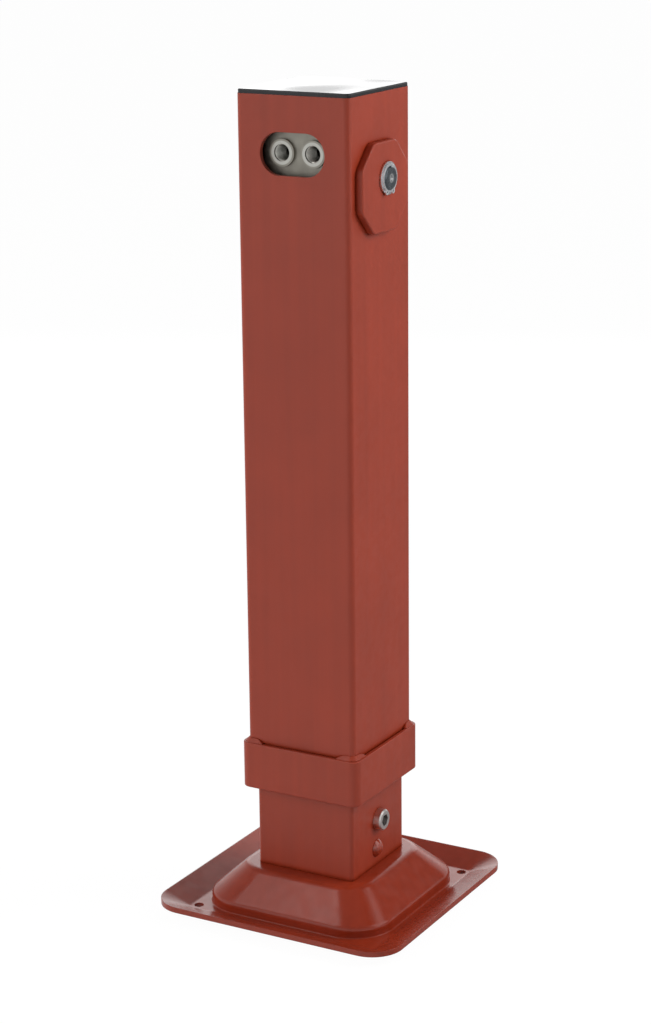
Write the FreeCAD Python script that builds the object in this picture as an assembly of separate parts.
# Hydraulic support leg: two square tubes telescoped around a double-acting cylinder, on a pressed foot.
# Sizes are in millimetres. +Z is up, -Y is the side with the hose ports, and the origin lies on the
# ground under the middle of the foot. The leg is drawn in.
import FreeCAD
import Part

import math
import os

V = FreeCAD.Vector
X = V(1, 0, 0)
Y = V(0, 1, 0)
Z = V(0, 0, 1)

# Foot
foot_w = 200.0
foot_corner_r = 24.0
sheet = 4.0
dome_h = 29.0
dome_top_w = 104.0
dome_top_r = 22.0
dome_base_w = 149.0
dome_base_r = 32.0
dome_wall_h = 7.5
ridge_r = 8.0
shoulder_r = 5.0
crease_r = 1.0
rim_fold_w = 157.0
rim_angle = 20.0
rim_bend_r = 5.0
foot_hole_d = 7.0
foot_hole_pitch = 146.0

# Square tubes and collar
tube_w = 89.0
tube_wall = 3.5
tube_corner_r = 4.0
foot_to_tube = 62.5
slide_gap = 1.0
leg_wall = 5.0
leg_corner_r = 3.0
collar_h = 35.0
collar_w = 97.5
collar_corner_r = 7.0
collar_edge_r = 0.8
collar_groove_w = 1.4
collar_groove_depth = 8.0
collar_weld_h = 3.2
collar_weld_len = 14.0
collar_weld_taper = 20.0

# Window, ports and cylinder head
window_w = 51.0
window_h = 30.0
port_drop = 40.2
port_pitch = 24.5
port_d = 12.0
port_depth = 24.0
seat_d = 19.5
seat_t = 2.0
seat_sleeve_d = 15.0
seat_sleeve = 8.0
seat_recess = 7.0
head_margin = 1.0
head_above_port = 25.0
head_below_pin = 19.5
head_chamfer = 4.0
passage_d = 5.0
cross_passage_d = 6.0
plug_d = 11.0
plug_t = 5.0

# Cross pin and its plates
pin_d = 17.0
pin_drop = 58.6
pin_play = 0.1
pin_end = 1.0
pin_chamfer = 1.0
pin_centre_d = 4.0
plate_w = 66.0
plate_h = 63.0
plate_cut = 17.0
plate_shift = -2.5
plate_corner_r = 8.0
plate_t = 5.5
plate_drop = 64.5
plate_edge_r = 1.2
washer_d = 23.0
washer_t = 1.5
clip_d = 20.5
clip_t = 1.0
clip_play = 0.05
groove_depth = 0.45
clip_gap = 5.0
clip_lug_d = 4.0
clip_lug_hole = 1.6
spacer_wall = 5.5

# Cylinder
barrel_gap = 5.0
barrel_wall = 5.0
stroke = 280.0
rod_room = 10.0
fit = 0.05
top_gap = 1.0
tube_top_gap = 12.0
weld_leg = 4.0
piston_h = 32.0
stub_step = 5.0
piston_nut_wall = 5.0
piston_nut_h = 10.0
nut_room = 2.0
piston_seal_h = 6.0
guide_h = 9.0
ring_depth = 3.0
ring_land = 4.0
gland_len = 37.0
gland_flange = 5.0
rod_ring_depth = 4.5
rod_seal_h = 7.0
wiper_h = 5.0
static_ring_d = 3.0
port_room = 24.0
pipe_od = 8.0
pipe_id = 5.0
pipe_gap = 0.5
boss_h = 16.0
boss_w = 12.0
oil_hole_d = 4.0
oil_rise = 6.0
boss_wall = 1.5

# Rod end in the inner tube
bolt_rise = 35.5
bolt_d = 10.0
bolt_play = 0.1
bolt_head_d = 16.0
bolt_head_h = 6.0
bolt_head_chamfer = 1.0
bolt_socket_w = 8.0
bolt_socket_depth = 4.0
bolt_nut_w = 16.0
bolt_nut_h = 8.4
bolt_end = 2.0
eye_spacer_len = 12.0
eye_chamfer = 6.0
eye_below = 23.0
eye_above = 30.0
eye_gap = 49.4
rod_thread_step = 3.0
rod_thread_len = 19.0
eye_spacer_wall = 5.0
mound_d = 14.0
mound_h = 4.0
mound_rise = 13.0
mound_shift = -2.0

# Top cap
cap_t = 3.0
cap_inset = 0.3
cap_edge_r = 1.0
cap_skirt = 12.0
cap_wall = 2.5
cap_play = 0.3
cap_rib_w = 2.0
cap_rib_h = 1.0
cap_rib_step = 18.0

# Widths worked out from the sizes
tube_in = tube_w - 2 * tube_wall
leg_w = tube_in - 2 * slide_gap
leg_in = leg_w - 2 * leg_wall
barrel_d = leg_in - 2 * barrel_gap
bore_d = barrel_d - 2 * barrel_wall
rod_d = bore_d - 2 * rod_room
rod_thread_d = rod_d - 2 * rod_thread_step
stub_d = rod_d - 2 * stub_step
piston_nut_w = stub_d + 2 * piston_nut_wall
head_w = barrel_d + 2 * head_margin
eye_w = leg_in - 2 * eye_spacer_len

# Heights worked out from the sizes, from the foot up through the cylinder to the tube's top
foot_top = sheet + dome_h
tube_bottom = foot_top + foot_to_tube
collar_top = tube_bottom + collar_h
bolt_z = foot_top + bolt_rise
eye_top = bolt_z + eye_above
rod_bottom = eye_top - rod_thread_len
gland_bottom = eye_top + eye_gap + gland_flange
gland_top = gland_bottom + gland_len
boss_bottom = gland_top + (port_room - boss_h) / 4
oil_z = boss_bottom + oil_rise
pipe_bottom = oil_z + oil_hole_d
piston_bottom = gland_top + port_room + stroke
piston_top = piston_bottom + piston_h
head_bottom = piston_top + top_gap
leg_top = head_bottom - tube_top_gap
pin_z = head_bottom + head_below_pin
tube_top = pin_z + pin_drop
port_z = tube_top - port_drop
head_top = port_z + head_above_port

# Places across the tube, worked out from the sizes
seat_face = -(tube_w / 2 - seat_recess)
head_face = seat_face + seat_t
port_end = head_face + port_depth
pipe_reach = head_w / 2 + pipe_gap + pipe_od / 2
pipe_at = -pipe_reach * math.sqrt(0.5)
plate_face = tube_w / 2 + plate_t
washer_face = plate_face + washer_t
clip_face = washer_face + clip_t
pin_half = clip_face + pin_end


# Cylinder of diameter d from point start, length along direction.
def rod(d, length, start, direction):
    return Part.makeCylinder(d / 2, length, start, direction)


# Hollow cylinder of outer and inner diameter.
def sleeve(outer, inner, length, start, direction):
    return rod(outer, length, start, direction).cut(rod(inner, length, start, direction))


# Upright bar with a square section of width w and corner radius r.
def square_bar(w, r, z0, z1):
    bar = Part.makeBox(w, w, z1 - z0, V(-w / 2, -w / 2, z0))
    upright = [e for e in bar.Edges if abs(e.tangentAt(e.FirstParameter).z) > 0.5]
    return bar.makeFillet(r, upright)


# Upright square tube; its inside corners keep the wall's thickness.
def square_tube(w, wall, r, z0, z1):
    inside_r = max(r - wall, wall / 4)
    return square_bar(w, r, z0, z1).cut(square_bar(w - 2 * wall, inside_r, z0, z1))


# Hexagonal bar across flats w, along X from x0.
def hex_bar(w, length, x0, z):
    points = []
    for i in range(7):
        angle = math.radians(60 * i)
        reach = w / 2 / math.cos(math.radians(30))
        points.append(V(x0, reach * math.cos(angle), z + reach * math.sin(angle)))
    return Part.Face(Part.makePolygon(points)).extrude(V(length, 0, 0))


# Copy of a shape turned half round about the upright axis.
def opposite(shape):
    twin = shape.copy()
    twin.rotate(V(0, 0, 0), Z, 180)
    return twin


# Pair of equal pieces on the +X and -X sides, as one group.
def pair(shape):
    return Part.makeCompound([shape, opposite(shape)])


# Edges of a shape that lie level at height z, no farther than reach from its middle.
def level_edges(shape, z, reach):
    found = []
    for e in shape.Edges:
        box = e.BoundBox
        level = abs(box.ZMin - z) < 0.01 and abs(box.ZMax - z) < 0.01
        if level and max(-box.XMin, box.XMax, -box.YMin, box.YMax) < reach + 0.01:
            found.append(e)
    return found


# Outline of a square of width w with corners of radius r, at height z.
def rounded_square(w, r, z):
    bar = square_bar(w, r, z, z + 1)
    return Part.Wire(Part.__sortEdges__(level_edges(bar, z, w)))


# Dome with an upright wall below and a slope above it that narrows to a smaller, rounder top.
def dome_body(base_w, base_r, bottom, wall_top, top_w, top_r, top, ridge, shoulder):
    base = rounded_square(base_w, base_r, wall_top)
    slope = Part.makeLoft([base, rounded_square(top_w, top_r, top)], True, True)
    wall = Part.Face(base).extrude(V(0, 0, bottom - wall_top))
    dome = wall.fuse(slope).removeSplitter()
    dome = dome.makeFillet(ridge, level_edges(dome, top, top_w))
    return dome.makeFillet(shoulder, level_edges(dome, wall_top, base_w))


# Hopper on a square of width w with corners of radius corner_r at height z0; its sides rise outwards at
# the rim's angle, with cones at the corners, and r rounds its bottom edge.
def hopper(w, corner_r, z0, z1, r):
    spread = (z1 - z0) / math.tan(math.radians(rim_angle))
    mouth = rounded_square(w + 2 * spread, corner_r + spread, z1)
    body = Part.makeLoft([rounded_square(w, corner_r, z0), mouth], True, True)
    return body.makeFillet(r, level_edges(body, z0, w))


# Pressed foot: plateau, slope, upright wall, flat ring and rising rim, all from one sheet.
def make_foot_plate():
    lean = math.radians(rim_angle)
    fold_r = foot_corner_r - (foot_w - rim_fold_w) / 2
    under = sheet * math.tan(lean / 2)
    top = foot_top - sheet
    rim = hopper(rim_fold_w + 2 * under, fold_r + under, 0, top, rim_bend_r + sheet)
    rim = rim.cut(hopper(rim_fold_w, fold_r, sheet, top, rim_bend_r))
    rim = rim.common(square_bar(foot_w, foot_corner_r, 0, top))
    wall_top = sheet + dome_wall_h
    run = (dome_base_w - dome_top_w) / 2 / (foot_top - wall_top)
    side = sheet * math.hypot(1, run)
    hollow_top_w = dome_top_w + 2 * (sheet * run - side)
    hollow_wall_top = wall_top + (sheet - side) / run
    hollow_base_w = dome_base_w - 2 * sheet
    hollow_top_r = dome_top_r - (dome_top_w - hollow_top_w) / 2
    outside = dome_body(dome_base_w, dome_base_r, 0, wall_top, dome_top_w, dome_top_r, foot_top,
                        ridge_r, shoulder_r)
    hollow = dome_body(hollow_base_w, dome_base_r - sheet, 0, hollow_wall_top, hollow_top_w, hollow_top_r,
                       top, ridge_r - sheet, shoulder_r - sheet)
    foot = rim.fuse(outside).removeSplitter()
    foot = foot.makeFillet(crease_r, level_edges(foot, sheet, dome_base_w / 2))
    foot = foot.cut(hollow)
    foot = foot.makeFillet(crease_r + sheet, level_edges(foot, 0, hollow_base_w / 2))
    for at in (-foot_hole_pitch / 2, foot_hole_pitch / 2):
        foot = foot.cut(rod(foot_hole_d, 3 * sheet, V(at, at, -sheet), Z))
    return foot


# Outer tube with the port window in front and the pin holes in its sides.
def make_outer_tube():
    tube = square_tube(tube_w, tube_wall, tube_corner_r, tube_bottom, tube_top)
    straight = window_w - window_h
    depth = 2 * tube_wall
    front = V(0, -tube_w / 2 - tube_wall / 2, port_z)
    window = Part.makeBox(straight, depth, window_h, front - V(straight / 2, 0, window_h / 2))
    for sx in (-1, 1):
        window = window.fuse(rod(window_h, depth, front + V(sx * straight / 2, 0, 0), Y))
    tube = tube.cut(window.removeSplitter())
    return tube.cut(rod(pin_d + 2 * pin_play, 2 * tube_w, V(-tube_w, 0, pin_z), X))


# Band that stiffens the mouth of the outer tube; it stands off the tube's flats at the top.
def make_bottom_collar():
    band = square_bar(collar_w, collar_corner_r, tube_bottom, collar_top)
    rims = level_edges(band, tube_bottom, collar_w) + level_edges(band, collar_top, collar_w)
    band = band.makeFillet(collar_edge_r, rims)
    band = band.cut(square_bar(tube_w, tube_corner_r, tube_bottom, collar_top))
    open_len = tube_w - 2 * collar_weld_len
    for quarter in range(4):
        groove = Part.makeBox(open_len, collar_groove_w, collar_groove_depth)
        groove.translate(V(-open_len / 2, tube_w / 2, collar_top - collar_groove_depth))
        groove.rotate(V(0, 0, 0), Z, 90 * quarter)
        band = band.cut(groove)
    return band


# Fillet welds that tie the collar's top to the tube around its four corners; a ball thins out their ends.
def make_collar_welds():
    weld_top = collar_top + collar_weld_h
    toe = rounded_square(tube_w + 2 * collar_weld_h, tube_corner_r + collar_weld_h, collar_top)
    ring = Part.makeLoft([toe, rounded_square(tube_w, tube_corner_r, weld_top)], True, True)
    ring = ring.cut(square_bar(tube_w, tube_corner_r, collar_top, weld_top))
    ball_r = math.hypot(collar_weld_len, collar_weld_taper)
    welds = []
    for sx in (-1, 1):
        for sy in (-1, 1):
            middle = V(sx * tube_w / 2, sy * tube_w / 2, collar_top - collar_weld_taper)
            welds.append(ring.common(Part.makeSphere(ball_r, middle)))
    return Part.makeCompound(welds)


# Eight-sided plate that stiffens the tube wall around the pin, on the +X side.
def make_side_plate():
    half_w = plate_w / 2
    half_h = plate_h / 2
    corners = [(half_w - plate_cut, half_h), (half_w, half_h - plate_cut)]
    corners += [(half_w, plate_cut - half_h), (half_w - plate_cut, -half_h)]
    outline = corners + [(-y, z) for y, z in reversed(corners)]
    middle = tube_top - plate_drop
    points = [V(tube_w / 2, plate_shift + y, middle + z) for y, z in outline]
    plate = Part.Face(Part.makePolygon(points + points[:1])).extrude(V(plate_t, 0, 0))
    plate = plate.makeFillet(plate_corner_r, [e for e in plate.Edges if e.BoundBox.XLength > plate_t / 2])
    rim = [e for e in plate.Edges if e.BoundBox.XMin > plate_face - plate_t / 2]
    plate = plate.makeFillet(plate_edge_r, rim)
    return plate.cut(rod(pin_d + 2 * pin_play, 2 * tube_w, V(0, 0, pin_z), X))


# Plastic plug: a flange on the tube's end and a ribbed skirt inside it.
def make_top_cap():
    flange_w = tube_w - 2 * cap_inset
    flange = square_bar(flange_w, tube_corner_r - cap_inset, tube_top, tube_top + cap_t)
    rim = [e for e in flange.Edges if min(v.Z for v in e.Vertexes) > tube_top + cap_t / 2]
    flange = flange.makeFillet(cap_edge_r, rim)
    skirt_w = tube_in - 2 * cap_play - 2 * cap_rib_h
    skirt_r = max(tube_corner_r - tube_wall, tube_wall / 4)
    skirt = square_tube(skirt_w, cap_wall, skirt_r, tube_top - cap_skirt, tube_top)
    ribs = []
    for quarter in range(4):
        for step in (-1, 0, 1):
            rib = Part.makeBox(cap_rib_w, cap_rib_h + cap_wall / 2, cap_skirt - cap_rib_w)
            side = step * cap_rib_step - cap_rib_w / 2
            rib.translate(V(side, (skirt_w - cap_wall) / 2, tube_top - cap_skirt + cap_rib_w))
            rib.rotate(V(0, 0, 0), Z, 90 * quarter)
            ribs.append(rib)
    return flange.fuse([skirt] + ribs).removeSplitter()


# Cylinder head: block with both ports, the pin hole and the oil ways.
def make_port_block():
    depth = head_w / 2 - head_face
    block = Part.makeBox(head_w, depth, head_top - head_bottom, V(-head_w / 2, head_face, head_bottom))
    upright = [e for e in block.Edges if abs(e.tangentAt(e.FirstParameter).z) > 0.5]
    block = block.makeChamfer(head_chamfer, upright)
    block = block.cut(rod(pin_d + 2 * pin_play, 2 * head_w, V(-head_w, 0, pin_z), X))
    for sx in (-1, 1):
        mouth = V(sx * port_pitch / 2, head_face, port_z)
        block = block.cut(rod(seat_sleeve_d, seat_sleeve, mouth, Y))
        block = block.cut(rod(port_d, port_depth, mouth, Y))
    extend = V(port_pitch / 2, port_end - passage_d, head_bottom)
    block = block.cut(rod(passage_d, port_z - head_bottom, extend, Z))
    block = block.cut(rod(passage_d, port_z - head_bottom, V(pipe_at, pipe_at, head_bottom), Z))
    cross = V(-head_w / 2, pipe_at, port_z)
    block = block.cut(rod(cross_passage_d, (head_w - port_pitch) / 2, cross, X))
    return block.cut(rod(plug_d, plug_t, cross, X))


# Screwed plug in the mouth of the cross drilling.
def make_passage_plug():
    return rod(plug_d, plug_t, V(-head_w / 2, pipe_at, port_z), X)


# Threaded seat with a raised face, at port side sx.
def make_port_seat(sx):
    axis = sx * port_pitch / 2
    seat = rod(seat_d, seat_t, V(axis, seat_face, port_z), Y)
    seat = seat.fuse(rod(seat_sleeve_d, seat_sleeve, V(axis, head_face, port_z), Y)).removeSplitter()
    return seat.cut(rod(port_d, seat_t + seat_sleeve, V(axis, seat_face, port_z), Y))


# Pin across the tube, grooved for the clips and centre-drilled at both ends.
def make_cross_pin():
    pin = rod(pin_d, 2 * pin_half, V(-pin_half, 0, pin_z), X)
    ends = [e for e in pin.Edges if e.Closed]
    pin = pin.makeChamfer(pin_chamfer, ends)
    groove = sleeve(pin_d + 2, pin_d - 2 * groove_depth, clip_t + clip_play, V(washer_face, 0, pin_z), X)
    centre = Part.makeCone(pin_centre_d / 2, 0, pin_centre_d / 2, V(pin_half, 0, pin_z), V(-1, 0, 0))
    for cutter in (groove, centre):
        pin = pin.cut(cutter).cut(opposite(cutter))
    return pin


# Washers between the plates and the clips.
def make_pin_washers():
    return pair(sleeve(washer_d, pin_d + 2 * pin_play, washer_t, V(plate_face, 0, pin_z), X))


# Open spring clips in the pin's grooves, with eyed ends.
def make_pin_clips():
    at = V(washer_face, 0, pin_z)
    ring = rod(clip_d, clip_t, at, X)
    lug_reach = clip_d / 2 - clip_lug_d / 4
    lug_side = clip_gap / 2 + clip_lug_d / 2
    for sy in (-1, 1):
        ring = ring.fuse(rod(clip_lug_d, clip_t, at + V(0, sy * lug_side, -lug_reach), X))
    ring = ring.removeSplitter()
    ring = ring.cut(rod(pin_d - 2 * groove_depth, clip_t, at, X))
    ring = ring.cut(Part.makeBox(clip_t, clip_gap, clip_d, at + V(0, -clip_gap / 2, -clip_d)))
    for sy in (-1, 1):
        ring = ring.cut(rod(clip_lug_hole, clip_t, at + V(0, sy * lug_side, -lug_reach), X))
    return pair(ring)


# Spacers that centre the cylinder head on the pin.
def make_pin_spacers():
    inner = pin_d + 2 * pin_play
    length = (tube_in - head_w) / 2
    return pair(sleeve(inner + 2 * spacer_wall, inner, length, V(head_w / 2, 0, pin_z), X))


# Cylinder tube, with the rod-side oil hole through its wall.
def make_cylinder_barrel():
    barrel = sleeve(barrel_d, bore_d, head_bottom - gland_bottom, V(0, 0, gland_bottom), Z)
    return barrel.cut(rod(oil_hole_d, barrel_d, V(0, 0, oil_z), V(-1, -1, 0)))


# Fillet weld between the cylinder tube and its head.
def make_barrel_weld():
    start = V(0, 0, head_bottom - weld_leg)
    bead = Part.makeCone(barrel_d / 2, head_w / 2, weld_leg, start, Z)
    return bead.cut(rod(barrel_d, weld_leg, start, Z))


# Gland that closes the cylinder around the rod, grooved for its seals.
def make_gland():
    gland = rod(bore_d, gland_len, V(0, 0, gland_bottom), Z)
    gland = gland.fuse(rod(barrel_d, gland_flange, V(0, 0, gland_bottom - gland_flange), Z)).removeSplitter()
    gland = gland.cut(rod(rod_d + 2 * fit, gland_len + gland_flange, V(0, 0, gland_bottom - gland_flange), Z))
    return gland.cut(make_rod_seal(0)).cut(make_rod_wiper(0)).cut(make_gland_ring())


# Rod seal in the gland's upper groove.
def make_rod_seal(play):
    start = V(0, 0, gland_top - ring_land - rod_seal_h)
    return sleeve(rod_d + 2 * rod_ring_depth, rod_d + 2 * play, rod_seal_h, start, Z)


# Wiper in the gland's mouth.
def make_rod_wiper(play):
    start = V(0, 0, gland_bottom - gland_flange)
    return sleeve(rod_d + 2 * rod_ring_depth, rod_d + 2 * play, wiper_h, start, Z)


# Static ring between the gland and the cylinder tube.
def make_gland_ring():
    start = V(0, 0, gland_top - ring_land - static_ring_d)
    return sleeve(bore_d, bore_d - 2 * static_ring_d, static_ring_d, start, Z)


# Oil pipe beside the cylinder tube, from the head to the boss.
def make_transfer_pipe():
    return sleeve(pipe_od, pipe_id, head_bottom - pipe_bottom, V(pipe_at, pipe_at, pipe_bottom), Z)


# Boss that joins the pipe to the cylinder's rod side.
def make_pipe_boss():
    reach = pipe_reach + pipe_od / 2 + boss_wall
    boss = Part.makeBox(reach, boss_w, boss_h, V(0, -boss_w / 2, boss_bottom))
    boss.rotate(V(0, 0, 0), Z, 225)
    boss = boss.cut(rod(barrel_d, boss_h, V(0, 0, boss_bottom), Z))
    boss = boss.cut(rod(pipe_od, boss_h, V(pipe_at, pipe_at, pipe_bottom), Z))
    boss = boss.cut(rod(pipe_id, boss_h, V(pipe_at, pipe_at, oil_z - oil_hole_d), Z))
    return boss.cut(rod(oil_hole_d, pipe_reach, V(0, 0, oil_z), V(-1, -1, 0)))


# Inner tube with holes for the rod-end screw.
def make_inner_tube():
    tube = square_tube(leg_w, leg_wall, leg_corner_r, foot_top, leg_top)
    return tube.cut(rod(bolt_d + 2 * bolt_play, 2 * leg_w, V(-leg_w, 0, bolt_z), X))


# Piston rod with a threaded foot and a stub for the piston.
def make_piston_rod():
    shaft = rod(rod_d, piston_bottom - eye_top, V(0, 0, eye_top), Z)
    thread = rod(rod_thread_d, rod_thread_len, V(0, 0, rod_bottom), Z)
    stub = rod(stub_d, piston_h, V(0, 0, piston_bottom), Z)
    return shaft.fuse([thread, stub]).removeSplitter()


# Piston with its ring grooves and a recess for the nut.
def make_piston():
    piston = rod(bore_d - 2 * fit, piston_h, V(0, 0, piston_bottom), Z)
    piston = piston.cut(rod(stub_d, piston_h, V(0, 0, piston_bottom), Z))
    recess = piston_nut_w / math.cos(math.radians(30)) + 2 * nut_room
    piston = piston.cut(rod(recess, piston_nut_h, V(0, 0, piston_top - piston_nut_h), Z))
    return piston.cut(make_piston_seal(0)).cut(make_piston_guide(0))


# Ring in a piston groove, z0 up, height h.
def piston_ring(play, z0, h):
    outer = bore_d - 2 * play
    return sleeve(outer, bore_d - 2 * ring_depth, h, V(0, 0, z0), Z)


# Piston seal, in the lower groove.
def make_piston_seal(play):
    return piston_ring(play, piston_bottom + ring_land, piston_seal_h)


# Guide strip, in the upper groove.
def make_piston_guide(play):
    return piston_ring(play, piston_bottom + 2 * ring_land + piston_seal_h, guide_h)


# Nut that holds the piston on the rod.
def make_piston_nut():
    nut = hex_bar(piston_nut_w, piston_nut_h, 0, 0)
    nut.rotate(V(0, 0, 0), Y, -90)
    nut.translate(V(0, 0, piston_top - piston_nut_h))
    return nut.cut(rod(stub_d, piston_nut_h, V(0, 0, piston_top - piston_nut_h), Z))


# Block at the rod's foot that the screw passes through.
def make_rod_eye():
    height = eye_above + eye_below
    eye = Part.makeBox(eye_w, eye_w, height, V(-eye_w / 2, -eye_w / 2, bolt_z - eye_below))
    upright = [e for e in eye.Edges if abs(e.tangentAt(e.FirstParameter).z) > 0.5]
    eye = eye.makeChamfer(eye_chamfer, upright)
    eye = eye.cut(rod(rod_thread_d, rod_thread_len, V(0, 0, rod_bottom), Z))
    return eye.cut(rod(bolt_d + 2 * bolt_play, 2 * eye_w, V(-eye_w, 0, bolt_z), X))


# Spacers between the rod eye and the tube walls.
def make_eye_spacers():
    inner = bolt_d + 2 * bolt_play
    length = (leg_in - eye_w) / 2
    return pair(sleeve(inner + 2 * eye_spacer_wall, inner, length, V(eye_w / 2, 0, bolt_z), X))


# Low-headed socket screw across the inner tube, head on +X.
def make_lower_bolt():
    face = leg_w / 2
    shank = rod(bolt_d, leg_w + bolt_nut_h + bolt_end, V(-face - bolt_nut_h - bolt_end, 0, bolt_z), X)
    head = rod(bolt_head_d, bolt_head_h, V(face, 0, bolt_z), X)
    crown = [e for e in head.Edges if e.Closed and e.Vertexes[0].X > face + bolt_head_h / 2]
    head = head.makeChamfer(bolt_head_chamfer, crown)
    socket = hex_bar(bolt_socket_w, bolt_socket_depth, face + bolt_head_h - bolt_socket_depth, bolt_z)
    return shank.fuse(head).removeSplitter().cut(socket)


# Nut on the screw's far end.
def make_lower_nut():
    start = -leg_w / 2 - bolt_nut_h
    nut = hex_bar(bolt_nut_w, bolt_nut_h, start, bolt_z)
    return nut.cut(rod(bolt_d, bolt_nut_h, V(start, 0, bolt_z), X))


# Low mounds of weld below the screw, one on each side.
def make_plug_welds():
    ball_r = (mound_d * mound_d / 4 + mound_h * mound_h) / (2 * mound_h)
    at = V(leg_w / 2, mound_shift, foot_top + mound_rise)
    ball = Part.makeSphere(ball_r, at + V(mound_h - ball_r, 0, 0))
    keep = Part.makeBox(mound_h, mound_d, mound_d, at - V(0, mound_d / 2, mound_d / 2))
    return pair(ball.common(keep))


shapes = {
    "outer_tube": make_outer_tube(),
    "bottom_collar": make_bottom_collar(),
    "collar_welds": make_collar_welds(),
    "side_plate_right": make_side_plate(),
    "side_plate_left": opposite(make_side_plate()),
    "top_cap": make_top_cap(),
    "port_block": make_port_block(),
    "passage_plug": make_passage_plug(),
    "extend_port_seat": make_port_seat(1),
    "retract_port_seat": make_port_seat(-1),
    "cross_pin": make_cross_pin(),
    "pin_washers": make_pin_washers(),
    "pin_clips": make_pin_clips(),
    "pin_spacers": make_pin_spacers(),
    "cylinder_barrel": make_cylinder_barrel(),
    "barrel_weld": make_barrel_weld(),
    "gland": make_gland(),
    "rod_seal": make_rod_seal(fit),
    "rod_wiper": make_rod_wiper(fit),
    "gland_ring": make_gland_ring(),
    "transfer_pipe": make_transfer_pipe(),
    "pipe_boss": make_pipe_boss(),
    "inner_tube": make_inner_tube(),
    "foot_plate": make_foot_plate(),
    "piston_rod": make_piston_rod(),
    "piston": make_piston(),
    "piston_seal": make_piston_seal(fit),
    "piston_guide": make_piston_guide(fit),
    "piston_nut": make_piston_nut(),
    "rod_eye": make_rod_eye(),
    "eye_spacers": make_eye_spacers(),
    "lower_bolt": make_lower_bolt(),
    "lower_nut": make_lower_nut(),
    "plug_welds": make_plug_welds(),
}

os.makedirs("parts", exist_ok=True)
for name, shape in shapes.items():
    shape.exportStep(f"parts/{name}.step")
    print(name, shape.isValid(), len(shape.Solids), round(shape.Volume / 1000, 2), "cm3")
